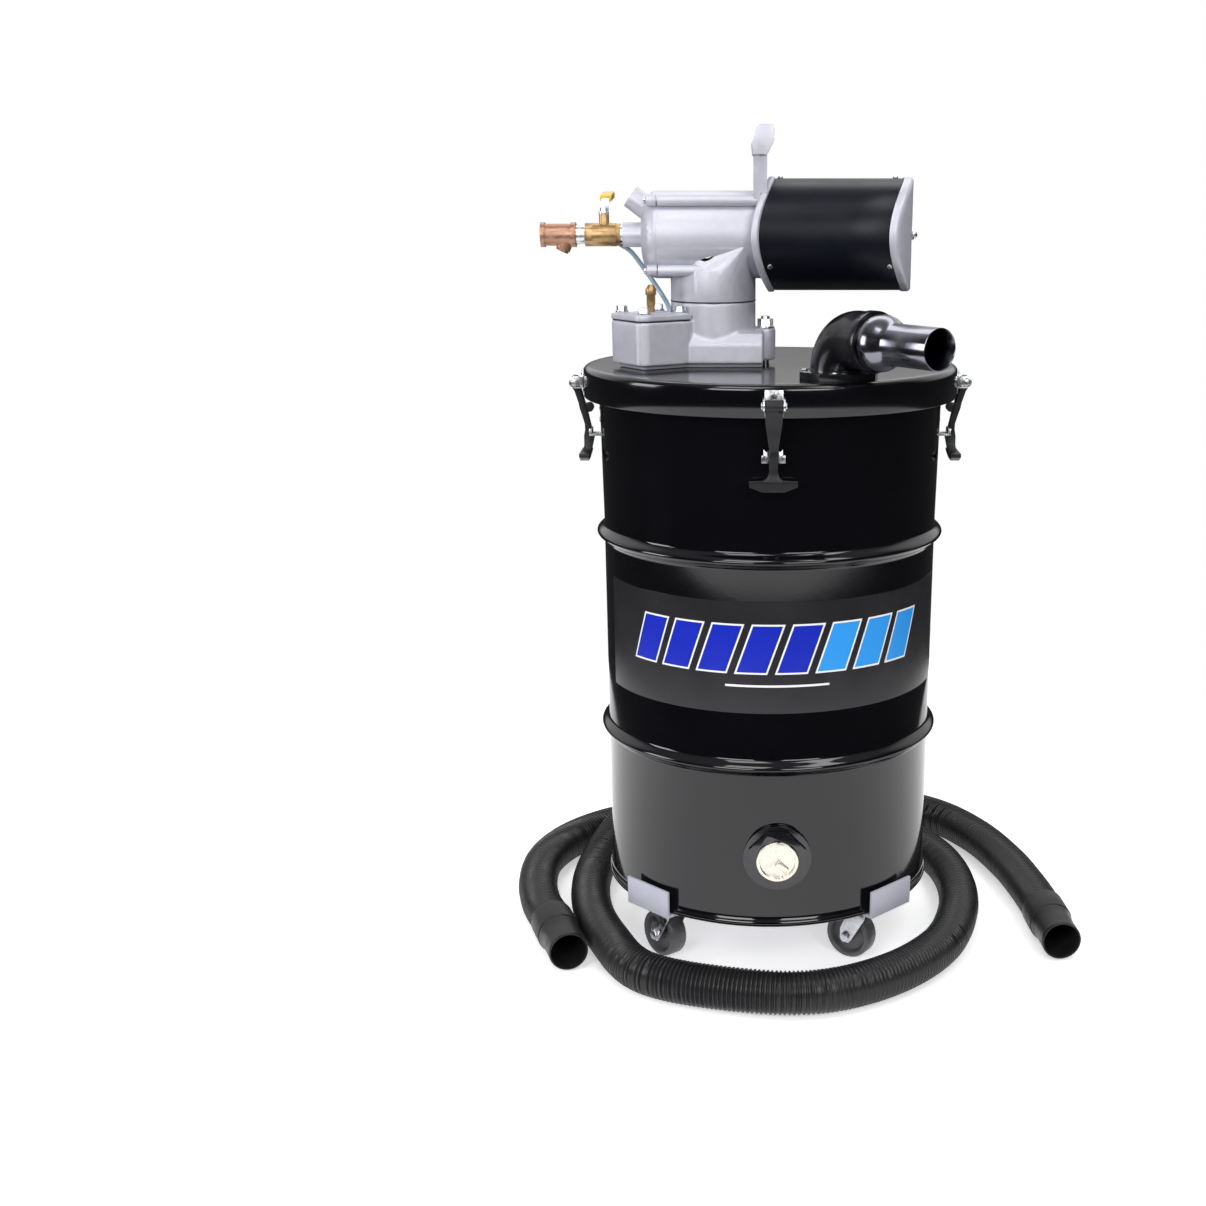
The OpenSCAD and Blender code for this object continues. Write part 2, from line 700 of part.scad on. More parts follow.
module nozzle() {
    color("tan") translate([-120, 0, head_z]) rotate([0, 90, 0]) difference() {
        union() {
            cylinder(r1 = 16, r2 = 9, h = 55);
            translate([0, 0, -31.9]) cylinder(r = 16, h = 31.9);
        }
        translate([0, 0, -40]) cylinder(r = 6, h = 110);
    }
}

module carry_handle() {
    color("gainsboro") {
        difference() {
            for (s = [-1, 1]) translate([-23.5, s * 45 - 7, head_z + 46]) cube([17, 14, 60]);
            at_ties() bar_x(cap_joint, 0, rib_r);
            muffler_piece(flange_left - 0.2, cover_left + 20, 2.5);
        }
        rotate([90, 0, 0]) linear_extrude(118, center = true) polygon(grip_outline);
    }
}

// ---------- muffler ----------

module muffler_flange() {
    color("gainsboro") difference() {
        union() {
            muffler_piece(flange_left, cover_left, 2.2);
            muffler_piece(cover_left - 4, cover_left + 14, -cover_t - 0.1);
        }
        translate([0, 0, head_z]) bar_x(-60, 60, 46);
        at_muffler_screws() translate([0, 0, -6]) cylinder(r = 1.9, h = 10);
    }
}

module muffler_cover() {
    color("black") difference() {
        muffler_piece(cover_left, cover_right);
        translate([0, 0, head_z]) bar_x(-60, 240, muffler_r - cover_t);
        at_muffler_screws() translate([0, 0, -6]) cylinder(r = 1.9, h = 10);
    }
}

module muffler_end() {
    color("gainsboro") difference() {
        union() {
            muffler_piece(cover_right, ridge, 1.6);
            muffler_piece(cover_right - 16, cover_right, -cover_t - 0.1);
        }
        muffler_piece(cover_right - 30, ridge - 5, -cover_t - 4);
        translate([0, 0, head_z]) bar_x(120, 240, 4.05);
        at_muffler_screws() translate([0, 0, -12]) cylinder(r = 1.9, h = 20);
    }
}

module muffler_lining() {
    color("gray") difference() {
        muffler_piece(cover_left + 15, cover_right - 17, -cover_t - 0.4);
        translate([0, 0, head_z]) bar_x(-60, 240, 40);
    }
}

module muffler_screws() {
    color("silver") at_muffler_screws() {
        cylinder(r = 3.6, h = 2.4);
        translate([0, 0, -5]) cylinder(r = 1.8, h = 5.5);
    }
}

module muffler_tie() {
    color("silver") {
        translate([0, 0, head_z]) bar_x(-30, ridge + 3, 4);
        translate([ridge, 0, head_z]) rotate([0, 90, 0]) hex(12, 3.5);
        translate([ridge + 3, 0, head_z]) sphere(r = 5);
    }
}

// ---------- air line ----------

module pipe_nipples() {
    color("silver") translate([0, 0, head_z]) difference() {
        union() {
            bar_x(valve_right - 9, boss_end + 12, pipe_r - 0.1);
            bar_x(strainer_right - 10, valve_left + 10, pipe_r - 0.1);
        }
        bar_x(-300, -150, 8);
    }
}

module valve_body() {
    color("peru") translate([0, 0, head_z]) difference() {
        union() {
            translate([valve_left, 0, 0]) rotate([0, 90, 0]) hex(26, 13);
            bar_x(valve_left + 12, stem_x - 7, 12.6);
            bar_x(stem_x - 15, stem_x + 16, 15);
            translate([valve_right - 7, 0, 0]) rotate([0, 90, 0]) hex(25, 7);
            translate([stem_x, 0, 12]) cylinder(r = 6.8, h = 14.5);
        }
        bar_x(valve_left - 1, valve_left + 10, pipe_r);
        bar_x(valve_right - 9, valve_right + 1, pipe_r);
        bar_x(valve_left, valve_right, 8);
        translate([stem_x, 0, 0]) sphere(r = ball_r + running);
        translate([stem_x, 0, 0]) cylinder(r = 3.5 + running, h = 40);
    }
}

module valve_ball() {
    color("silver") translate([stem_x, 0, head_z]) difference() {
        union() {
            sphere(r = ball_r);
            cylinder(r = 3.5, h = 34);
        }
        bar_y(40, 7);
    }
}

// Cranked flat lever: across the pipe when shut, rising away from the stem
module valve_lever() {
    color("silver") translate([stem_x, 0, head_z]) difference() {
        union() {
            translate([0, 0, 26.8]) cylinder(r = 7, h = 3);
            translate([0, 0, 29.8]) hex(9, 4.6);
            rotate([90, 0, 90]) linear_extrude(11, center = true)
                polygon([[0, 26.8], [0, 29.8], [7, 29.8], [22, 43], [34, 47.5], [95, 52], [95, 49],
                         [34.6, 44.5], [23.5, 40.3], [8, 26.8]]);
        }
        cylinder(r = 3.5, h = 60);
    }
}

module lever_sleeve() {
    color("gold") translate([stem_x, 0, head_z]) difference() {
        rotate([90, 0, 90]) linear_extrude(15.5, center = true)
            polygon([[36, 50.3], [38, 51.2], [97, 55.2], [98.5, 54], [98.5, 48], [97, 46.6],
                     [38, 42.2], [36, 43]]);
        rotate([90, 0, 90]) linear_extrude(11, center = true)
            polygon([[34, 47.5], [95, 52], [95, 49], [34.6, 44.5]]);
    }
}

// Places its children on the strainer's side branch, with +Z out along it
module at_branch() {
    translate([branch_x, 0, head_z]) rotate([0, branch_turn, 0]) children();
}

module strainer_body() {
    color("rosybrown") difference() {
        union() {
            translate([0, 0, head_z]) {
                bar_x(strainer_left + 3, strainer_right - 3, 14.2);
                bar_x(strainer_left, strainer_left + 6, 16);
                bar_x(strainer_right - 7, strainer_right, 16);
            }
            at_branch() cylinder(r = 10, h = branch_len);
        }
        translate([0, 0, head_z]) {
            bar_x(strainer_left - 1, strainer_left + 16, pipe_r);
            bar_x(strainer_right - 10, strainer_right + 1, pipe_r);
            bar_x(strainer_left + 5, strainer_right - 5, 9);
        }
        at_branch() cylinder(r = 7, h = 40);
    }
}

module strainer_plug() {
    color("rosybrown") at_branch() {
        translate([0, 0, branch_len - 7]) cylinder(r = 6.9, h = 7);
        translate([0, 0, branch_len]) hex(15, 3);
    }
}

module pilot_fittings() {
    color("peru") translate([chamber_x, chamber_y, cover_high + 2]) {
        hex(9, 9);
        translate([0, 0, -7.5]) cylinder(r = 3.9, h = 8);
        for (a = [0 : 60 : 300]) rotate([0, 0, a]) translate([4.2, 0, 8]) cylinder(r = 1.6, h = 15);
        cylinder(r = 3.4, h = 24);
        translate([0, 0, 22]) cylinder(r = 7.2, h = 8);
        translate([0, 0, 30]) cylinder(r1 = 6.4, r2 = 3.6, h = 5);
    }
}

module pilot_tube() {
    color("lightblue") swept(spline(pilot_route, 3), 3.2, 10, [0, 1, 0]);
}

// ---------- suction inlet ----------

// Places its children with +X along the inlet and the elbow's bend centre at the origin
module at_inlet() {
    translate([elbow_x, elbow_y, elbow_z]) rotate([0, 0, -inlet_turn]) children();
}

// Elbow's path with a given radius: up from the lid, round the bend and out along the inlet
module elbow_run(r) {
    bend = 38;
    translate([0, 0, -(elbow_z - lid_top)]) cylinder(r = r, h = elbow_z - lid_top - bend);
    translate([bend, 0, -bend]) rotate([90, 0, 180])
        rotate_extrude(angle = 90) translate([bend, 0]) circle(r = r);
    bar_x(bend, 70, r);
}

module suction_elbow() {
    color("black") at_inlet() difference() {
        union() {
            elbow_run(36.5);
            bar_x(58, 70, 38);
            translate([0, 0, lid_top - elbow_z]) rotate([0, 0, 22.5]) cylinder(r = 52, h = 9, $fn = 8);
        }
        elbow_run(elbow_bore);
        bar_x(52, 71, 33.2);
        for (a = [45 : 90 : 315])
            rotate([0, 0, a]) translate([44, 0, lid_top - elbow_z + 4]) cylinder(r = 2.2, h = 10);
    }
}

module elbow_screws() {
    color("gray") at_inlet() for (a = [45 : 90 : 315])
        rotate([0, 0, a]) translate([44, 0, lid_top - elbow_z]) {
            translate([0, 0, 9]) cylinder(r = 4, h = 2.4);
            translate([0, 0, 4]) cylinder(r = 2.1, h = 5);
        }
}

module inlet_adapter() {
    wall = 1.8;
    outer = [[33.1, 54], [33.1, 71], [34.3, 74], [35, 79], [34.8, 85], [33.6, 91], [31, 97], [28, 102],
             [26.2, 106], [stub_d / 2, 110], [stub_d / 2, 186]];
    inner = [for (p = reversed(outer)) [p[0] - wall, p[1]]];
    color("slategray") at_inlet() rotate([0, 90, 0]) rotate_extrude() polygon(concat(outer, inner));
}

// ---------- inside the drum ----------

module filter_cartridge() {
    pleats = 48;
    color("ivory") translate([-neck_x, 0, filter_low]) difference() {
        union() {
            linear_extrude(lid_under - filter_low - 6)
                polygon([for (k = [0 : 2 * pleats - 1])
                    (k % 2 == 0 ? 88 : 76) * [cos(180 * k / pleats), sin(180 * k / pleats)]]);
            cylinder(r = 90, h = 8);
            translate([0, 0, lid_under - filter_low - 8]) cylinder(r = 90, h = 8);
        }
        translate([0, 0, 6]) cylinder(r = 62, h = 260);
    }
}

module float_cage() {
    color("silver") translate([-neck_x, 0, 0]) difference() {
        translate([0, 0, cage_floor]) cylinder(r = 46, h = lid_under - cage_floor);
        translate([0, 0, cage_floor + 3]) cylinder(r = 43, h = 200);
        translate([0, 0, cage_floor - 1]) cylinder(r = 12, h = 10);
        for (a = [0, 60, 120])
            rotate([0, 0, a]) translate([-60, -14, cage_floor + 14]) cube([120, 28, 105]);
    }
}

module float_ball() {
    color("orange") translate([-neck_x, 0, float_z + 0.3]) sphere(r = float_r);
}

dolly_frame();
caster_plates();
drum_shell();
drum_label();
drain_flange();
drain_cap();
latch_keepers();
keeper_rivets();
suction_hose();
hose_cuff_left();
hose_cuff_right();
caster_fork_fl();
caster_fork_fr();
caster_fork_bl();
caster_fork_br();
caster_wheel_fl();
caster_wheel_fr();
caster_wheel_bl();
caster_wheel_br();
lid_cover();
lid_gasket();
latch_brackets();
latch_pins();
base_casting();
base_nut();
chamber_gasket();
chamber_cover();
chamber_bolts();
neck_gasket();
venturi_housing();
end_cap();
cap_plug();
tie_screws();
nozzle();
carry_handle();
muffler_flange();
muffler_cover();
muffler_end();
muffler_lining();
muffler_screws();
muffler_tie();
pipe_nipples();
valve_body();
strainer_body();
strainer_plug();
pilot_fittings();
pilot_tube();
suction_elbow();
elbow_screws();
inlet_adapter();
filter_cartridge();
float_cage();
float_ball();
valve_ball();
valve_lever();
lever_sleeve();
latch_strap_front();
latch_strap_right();
latch_strap_back();
latch_strap_left();
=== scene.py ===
import math
import bpy
from mathutils import Matrix, Vector


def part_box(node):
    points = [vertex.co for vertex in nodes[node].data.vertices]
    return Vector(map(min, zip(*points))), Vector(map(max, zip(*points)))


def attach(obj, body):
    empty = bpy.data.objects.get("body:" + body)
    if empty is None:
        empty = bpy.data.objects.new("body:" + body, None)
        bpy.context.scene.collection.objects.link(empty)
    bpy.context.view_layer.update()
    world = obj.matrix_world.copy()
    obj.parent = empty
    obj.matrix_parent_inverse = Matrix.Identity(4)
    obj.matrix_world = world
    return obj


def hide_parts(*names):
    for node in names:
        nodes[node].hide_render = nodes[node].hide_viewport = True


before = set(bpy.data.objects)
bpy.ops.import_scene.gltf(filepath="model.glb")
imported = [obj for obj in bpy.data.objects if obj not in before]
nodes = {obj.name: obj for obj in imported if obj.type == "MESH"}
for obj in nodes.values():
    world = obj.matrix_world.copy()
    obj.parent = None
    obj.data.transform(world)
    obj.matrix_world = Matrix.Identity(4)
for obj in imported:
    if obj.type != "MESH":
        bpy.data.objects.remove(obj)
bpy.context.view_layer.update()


# ---------------------------------------------------------------- camera, floor and lights
# A product-shot set-up: the camera looks a little down on the drum from the front, on a white
# floor that fades into a white room, lit by two soft boxes beside the camera and four round it.

def deselect_all():
    if bpy.context.object and bpy.context.object.mode != "OBJECT":
        bpy.ops.object.mode_set(mode="OBJECT")
    bpy.ops.object.select_all(action="DESELECT")


def node_tree(material):
    material.use_nodes = True
    tree = material.node_tree
    return tree.nodes, tree.links


camera_place = (-0.04395, -2.2695, 1.0658)
camera_pitch = math.radians(71.674)
bpy.ops.object.camera_add(location=camera_place, rotation=(camera_pitch, 0, 0))
camera = bpy.context.object
camera.data.sensor_width = 36
camera.data.lens = 48.226
camera.data.shift_x = -0.1122
camera.data.shift_y = 0.0995
bpy.context.scene.camera = camera

bpy.context.scene.view_settings.view_transform = "Standard"

floor_radius = 1.5
deselect_all()
bpy.ops.mesh.primitive_circle_add(vertices=96, radius=floor_radius, fill_type="NGON",
                                  location=(0, 0, 0))
floor = bpy.context.object
floor.name = "studio_floor"
floor_paint = bpy.data.materials.new("white_floor")
made, join = node_tree(floor_paint)
floor_shader = made["Principled BSDF"]
floor_shader.inputs["Base Color"].default_value = (0.86, 0.86, 0.87, 1)
floor_shader.inputs["Roughness"].default_value = 0.9
floor_shader.inputs["Specular IOR Level"].default_value = 0.0
floor_shader.inputs["Emission Color"].default_value = (1, 1, 1, 1)
floor_shader.inputs["Emission Strength"].default_value = 0.5
floor.data.materials.append(floor_paint)


def soft_box(name, place, aim, size, power, tint=(1, 1, 1)):
    bpy.ops.object.light_add(type="AREA", location=place)
    lamp = bpy.context.object
    lamp.name = name
    lamp.data.shape = "RECTANGLE"
    lamp.data.size, lamp.data.size_y = size
    lamp.data.energy = power
    lamp.data.color = tint
    lamp.rotation_euler = (Vector(aim) - Vector(place)).to_track_quat("-Z", "Y").to_euler()


soft_box("front_left", (-1.15, -2.6, 1.75), (0, 0, 0.9), (1.3, 1.0), 34)
soft_box("front_right", (1.05, -2.6, 1.75), (0, 0, 0.9), (1.3, 1.0), 30)
soft_box("overhead_left", (-0.5, -1.2, 2.7), (0, 0, 0.5), (0.95, 0.9), 15)
soft_box("overhead_right", (1.1, -0.85, 2.7), (0, 0, 0.5), (0.95, 0.9), 15)
soft_box("overhead_back", (0, 1.3, 2.9), (0, 0, 0.3), (2.4, 0.9), 16)
soft_box("side_left", (-2.6, -0.5, 1.3), (0, 0, 0.5), (0.9, 1.2), 26, (0.95, 0.96, 1.0))

room = bpy.data.worlds.new("white_room")
bpy.context.scene.world = room
made, join = node_tree(room)
around = made["Background"]
heading = made.new("ShaderNodeTexCoord")
parts = made.new("ShaderNodeSeparateXYZ")
join.new(heading.outputs["Generated"], parts.inputs["Vector"])


def ramp_up(source, low, high, peak):
    step = made.new("ShaderNodeMapRange")
    step.interpolation_type = "SMOOTHSTEP"
    step.inputs["From Min"].default_value = low
    step.inputs["From Max"].default_value = high
    step.inputs["To Max"].default_value = peak
    join.new(source, step.inputs["Value"])
    return step.outputs["Result"]


backdrop_glow, ceiling_glow, wall_glow = 0.95, 0.3, 0.035
backdrop = made.new("ShaderNodeMath")
backdrop.operation = "MULTIPLY"
join.new(ramp_up(parts.outputs["Y"], 0.1, 0.55, backdrop_glow), backdrop.inputs[0])
join.new(ramp_up(parts.outputs["Z"], 0.04, 0.2, 1.0), backdrop.inputs[1])
with_ceiling = made.new("ShaderNodeMath")
with_ceiling.operation = "MAXIMUM"
join.new(backdrop.outputs["Value"], with_ceiling.inputs[0])
join.new(ramp_up(parts.outputs["Z"], 0.45, 0.85, ceiling_glow), with_ceiling.inputs[1])
with_walls = made.new("ShaderNodeMath")
with_walls.operation = "ADD"
with_walls.inputs[1].default_value = wall_glow
join.new(with_ceiling.outputs["Value"], with_walls.inputs[0])
join.new(with_walls.outputs["Value"], around.inputs["Color"])
seen = made.new("ShaderNodeBackground")
sight = made.new("ShaderNodeLightPath")
choice = made.new("ShaderNodeMixShader")
seen.inputs["Color"].default_value = (1, 1, 1, 1)
join.new(sight.outputs["Is Camera Ray"], choice.inputs["Fac"])
join.new(around.outputs["Background"], choice.inputs[1])
join.new(seen.outputs["Background"], choice.inputs[2])
join.new(choice.outputs["Shader"], made["World Output"].inputs["Surface"])


# ---------------------------------------------------------------- suction hose
# A black corrugated polyethylene hose, two inches inside, lying loose round the drum. It is
# one extruded tube with narrow round ribs, and its two ends are pressed into moulded cuffs.

hose_diameter = 0.0604
hose_groove = 0.0024
rib_pitch = 0.0061
hose_sides = 24
hose_points_mm = [
    (-321, -80, 32), (-343, -20, 31), (-358, 60, 31), (-356, 150, 31), (-322, 235, 31),
    (-255, 305, 31), (-160, 345, 31), (-50, 350, 31), (60, 335, 31), (160, 300, 31),
    (240, 235, 31), (282, 150, 31), (296, 50, 31), (285, -55, 31), (245, -165, 31),
    (165, -255, 31), (60, -305, 31), (-60, -295, 31), (-175, -246, 31), (-231, -144, 31),
    (-266, -28, 31), (-272, 95, 36), (-240, 210, 60), (-185, 300, 93), (-110, 352, 96),
    (-20, 398, 62), (90, 420, 34), (200, 405, 31), (295, 345, 31), (355, 250, 31),
    (390, 140, 31), (407, 40, 32), (416, -40, 32)]
hose_points = [Vector(p) / 1000 for p in hose_points_mm]


def smooth_route(points, steps):
    """Catmull-Rom curve through the points, with the given number of steps for each stretch."""
    route = []
    last = len(points) - 1
    for i in range(last):
        before = points[i - 1] if i else 2 * points[0] - points[1]
        after = points[i + 2] if i + 2 <= last else 2 * points[last] - points[last - 1]
        here, there = points[i], points[i + 1]
        for k in range(steps):
            t = k / steps
            route.append(0.5 * (2 * here + (there - before) * t
                                + (2 * before - 5 * here + 4 * there - after) * t * t
                                + (3 * here - before - 3 * there + after) * t ** 3))
    route.append(points[last].copy())
    return route


def even_route(route, spacing):
    """The same curve with its points a fixed distance apart."""
    even, reached, carried = [route[0].copy()], 0.0, 0.0
    for a, b in zip(route, route[1:]):
        stretch = (b - a).length
        while reached + stretch >= carried + spacing:
            carried += spacing
            even.append(a.lerp(b, (carried - reached) / stretch))
        reached += stretch
    return even


def tube_mesh(name, route, radii, sides, up=Vector((0, 0, 1))):
    """A closed tube of rings along the route, one radius for each ring."""
    verts, faces = [], []
    for i, centre in enumerate(route):
        ahead = (route[min(i + 1, len(route) - 1)] - route[max(i - 1, 0)]).normalized()
        across = ahead.cross(up).normalized()
        rise = across.cross(ahead)
        for k in range(sides):
            turn = 2 * math.pi * k / sides
            verts.append(centre + radii[i] * (math.cos(turn) * across + math.sin(turn) * rise))
    for i in range(len(route) - 1):
        for k in range(sides):
            n = (k + 1) % sides
            faces.append((i * sides + k, i * sides + n, (i + 1) * sides + n, (i + 1) * sides + k))
    faces.append(tuple(reversed(range(sides))))
    faces.append(tuple((len(route) - 1) * sides + k for k in range(sides)))
    mesh = bpy.data.meshes.new(name)
    mesh.from_pydata(verts, [], faces)
    tube = bpy.data.objects.new(name, mesh)
    bpy.context.scene.collection.objects.link(tube)
    deselect_all()
    tube.select_set(True)
    bpy.context.view_layer.objects.active = tube
    bpy.ops.object.mode_set(mode="EDIT")
    bpy.ops.mesh.select_all(action="SELECT")
    bpy.ops.mesh.normals_make_consistent(inside=False)
    bpy.ops.object.mode_set(mode="OBJECT")
    return tube


def finish_of(name, colour, roughness, metal=0.0, mottle=0.12, mottle_scale=60.0,
              rough_spread=0.06, bump=0.1, bump_scale=900.0, bump_depth=0.0002, coat=0.0,
              coat_roughness=0.1, specular=0.5):
    """A finish with slight changes of tone and gloss and a fine texture, all in object space."""
    material = bpy.data.materials.new(name)
    made, join = node_tree(material)
    shader = made["Principled BSDF"]
    shader.inputs["Metallic"].default_value = metal
    shader.inputs["Coat Weight"].default_value = coat
    shader.inputs["Coat Roughness"].default_value = coat_roughness
    shader.inputs["Specular IOR Level"].default_value = specular
    place = made.new("ShaderNodeTexCoord")

    tone = made.new("ShaderNodeTexNoise")
    tone.inputs["Scale"].default_value = mottle_scale
    tone.inputs["Detail"].default_value = 4
    join.new(place.outputs["Object"], tone.inputs["Vector"])
    shades = made.new("ShaderNodeValToRGB")
    shades.color_ramp.elements[0].position = 0.3
    shades.color_ramp.elements[1].position = 0.7
    shades.color_ramp.elements[0].color = [c * (1 - mottle) for c in colour] + [1]
    shades.color_ramp.elements[1].color = [min(c * (1 + mottle), 1) for c in colour] + [1]
    join.new(tone.outputs["Fac"], shades.inputs["Fac"])
    join.new(shades.outputs["Color"], shader.inputs["Base Color"])

    gloss = made.new("ShaderNodeMapRange")
    gloss.inputs["From Min"].default_value = 0.3
    gloss.inputs["From Max"].default_value = 0.7
    gloss.inputs["To Min"].default_value = max(roughness - rough_spread, 0.02)
    gloss.inputs["To Max"].default_value = min(roughness + rough_spread, 1.0)
    join.new(tone.outputs["Fac"], gloss.inputs["Value"])
    join.new(gloss.outputs["Result"], shader.inputs["Roughness"])

    grain = made.new("ShaderNodeTexNoise")
    grain.inputs["Scale"].default_value = bump_scale
    grain.inputs["Detail"].default_value = 2
    join.new(place.outputs["Object"], grain.inputs["Vector"])
    relief = made.new("ShaderNodeBump")
    relief.inputs["Strength"].default_value = bump
    relief.inputs["Distance"].default_value = bump_depth
    join.new(grain.outputs["Fac"], relief.inputs["Height"])
    join.new(relief.outputs["Normal"], shader.inputs["Normal"])
    return material


ring_pattern = [0.0, 0.0, hose_groove * 0.92, hose_groove]
ring_spacing = rib_pitch / len(ring_pattern)
hose_route = even_route(smooth_route(hose_points, steps=12), ring_spacing)
hose_radii = [hose_diameter / 2 - ring_pattern[i % len(ring_pattern)]
              for i in range(len(hose_route))]
hose = tube_mesh("suction_hose_ribbed", hose_route, hose_radii, hose_sides)
deselect_all()
hose.select_set(True)
bpy.context.view_layer.objects.active = hose
bpy.ops.object.shade_smooth_by_angle(angle=math.radians(50))
hose_plastic = finish_of("hose_polyethylene", (0.011, 0.011, 0.012), 0.36, mottle=0.25,
                         mottle_scale=35, bump=0.15, bump_scale=500, specular=0.35)
hose.data.materials.append(hose_plastic)

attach(hose, "vessel")
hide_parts("suction_hose")


# ---------------------------------------------------------------- hose end cuffs
# Black moulded rubber cuffs, screwed over the two hose ends. Each has a thicker grip sleeve, a
# shallow groove and a plain spigot that pushes on to the inlet stub or takes a nozzle.

def turned(name, outline, sides, centre=(0, 0, 0), axis=(0, 0, 1), closed_loop=False):
    """A lathe-turned shape: rings of (distance along the axis, radius), pulled up one by one."""
    deselect_all()
    bpy.ops.mesh.primitive_circle_add(vertices=sides, radius=outline[0][1], location=(0, 0, 0))
    piece = bpy.context.object
    piece.name = name
    piece.data.transform(Matrix.Translation((0, 0, outline[0][0])))
    bpy.ops.object.mode_set(mode="EDIT")
    bpy.ops.mesh.select_all(action="SELECT")
    for (z0, r0), (z1, r1) in zip(outline, outline[1:]):
        bpy.ops.mesh.extrude_region_move(TRANSFORM_OT_translate={"value": (0, 0, z1 - z0)})
        bpy.ops.transform.resize(value=(r1 / r0, r1 / r0, 1), center_override=(0, 0, z1))
    bpy.ops.mesh.select_all(action="SELECT")
    if closed_loop:
        bpy.ops.mesh.remove_doubles(threshold=1e-6)
    else:
        bpy.ops.mesh.select_all(action="DESELECT")
        bpy.ops.mesh.select_non_manifold()
        bpy.ops.mesh.edge_face_add()
    bpy.ops.mesh.select_all(action="SELECT")
    bpy.ops.mesh.normals_make_consistent(inside=False)
    bpy.ops.object.mode_set(mode="OBJECT")
    turn = Vector((0, 0, 1)).rotation_difference(Vector(axis).normalized()).to_matrix().to_4x4()
    piece.data.transform(Matrix.Translation(centre) @ turn)
    return piece


def smooth_by_angle(piece, degrees=35):
    deselect_all()
    piece.select_set(True)
    bpy.context.view_layer.objects.active = piece
    bpy.ops.object.shade_smooth_by_angle(angle=math.radians(degrees))


def mm(outline):
    """Turns (distance, radius) pairs from millimetres to metres."""
    return [(z / 1000, r / 1000) for z, r in outline]


def fit(piece, paint, body, slot, *stood_for):
    """Paints a piece, hangs it on its body and hides the drawn nodes it stands for; slot is not used."""
    piece.data.materials.append(paint)
    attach(piece, body)
    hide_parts(*stood_for)


cuff_outline = mm([(0, 25.4), (0, 31.2), (0.8, 32), (47, 32), (49.5, 31.4), (50.5, 29.8),
                   (52, 29.8), (53, 30.5), (55.5, 30.3), (61, 29.2), (68, 28.5), (100, 28.3),
                   (106, 28.5), (111, 28.4), (112, 27.8), (112, 26.2), (110.5, 25.5), (3, 25.5),
                   (3, 5)])
cuff_rubber = finish_of("cuff_rubber", (0.012, 0.012, 0.013), 0.42, mottle=0.3, mottle_scale=45,
                        rough_spread=0.1, bump=0.2, bump_scale=350, specular=0.28)
for side, tip, turn in (("left", hose_points[0], -71.5), ("right", hose_points[-1], -86)):
    pointing = (math.cos(math.radians(turn)), math.sin(math.radians(turn)), 0)
    cuff = turned("hose_cuff_" + side + "_moulded", cuff_outline, 64, tuple(tip), pointing)
    smooth_by_angle(cuff, 40)
    fit(cuff, cuff_rubber, "vessel", "cuff_black", "hose_cuff_" + side)


# ---------------------------------------------------------------- dolly frame
# Two flat steel bars welded into a cross, their ends bent up into lips that hold the drum's
# chime. Grey enamel, rolled edges.

weld_distance = 2e-5
flat_angle = 1.2
shade_angle = 40


def welded_copy(node, name):
    """An unpainted copy of a drawn node, its triangles joined into one skin, left in edit mode."""
    piece = bpy.data.objects.new(name, nodes[node].data.copy())
    bpy.context.scene.collection.objects.link(piece)
    piece.data.materials.clear()
    deselect_all()
    piece.select_set(True)
    bpy.context.view_layer.objects.active = piece
    bpy.ops.object.mode_set(mode="EDIT")
    bpy.ops.mesh.select_all(action="SELECT")
    bpy.ops.mesh.remove_doubles(threshold=weld_distance)
    return piece


def rounded_copy(node, name, width, segments=2, angle=35):
    """A copy of a drawn node with its flat faces joined up and its edges slightly rounded."""
    piece = welded_copy(node, name)
    bpy.ops.mesh.dissolve_limited(angle_limit=math.radians(flat_angle))
    bpy.ops.object.mode_set(mode="OBJECT")
    bpy.ops.object.modifier_add(type="BEVEL")
    edge_round = piece.modifiers[-1]
    edge_round.width = width
    edge_round.segments = segments
    edge_round.limit_method = "ANGLE"
    edge_round.angle_limit = math.radians(angle)
    edge_round.miter_outer = "MITER_ARC"
    bpy.ops.object.modifier_apply(modifier=edge_round.name)
    bpy.ops.object.shade_smooth_by_angle(angle=math.radians(shade_angle))
    return piece


def finished(node, ending, paint, body, slot, width, segments=2, angle=35):
    """A drawn node's rounded copy, named after it, painted and hung on its body."""
    fit(rounded_copy(node, node + ending, width, segments, angle), paint, body, slot, node)


dolly_enamel = finish_of("dolly_enamel", (0.42, 0.42, 0.49), 0.38, mottle=0.05, mottle_scale=25,
                         bump=0.12, bump_scale=500)
finished("dolly_frame", "_bent", dolly_enamel, "vessel", "dolly_grey", 0.0009)


# ---------------------------------------------------------------- casters
# Four swivel casters: a pressed zinc-plated top plate welded under the bar, a fork on a ball
# race, and a moulded grey wheel with a dished web on a bolted axle.

zinc = finish_of("zinc_plate", (0.62, 0.64, 0.66), 0.3, metal=1.0, mottle=0.18, mottle_scale=130,
                 rough_spread=0.1, bump=0.08, bump_scale=700)
finished("caster_plates", "_pressed", zinc, "vessel", "zinc", 0.0006)

wheel_rubber = finish_of("wheel_rubber", (0.085, 0.085, 0.09), 0.42, mottle=0.2, mottle_scale=50,
                         rough_spread=0.1, bump=0.15, bump_scale=400)
for corner in ("fl", "fr", "bl", "br"):
    finished("caster_fork_" + corner, "_pressed", zinc, "caster_" + corner, "zinc", 0.0005)
    finished("caster_wheel_" + corner, "_moulded", wheel_rubber, "wheel_" + corner, "wheel_grey",
             0.0012, 3)


# ---------------------------------------------------------------- drum shell
# A seam-welded steel drum with two rolled hoops, a bottom seamed into a chime and a curled open
# top. Sprayed inside and out with gloss black enamel, which shows a faint orange peel.

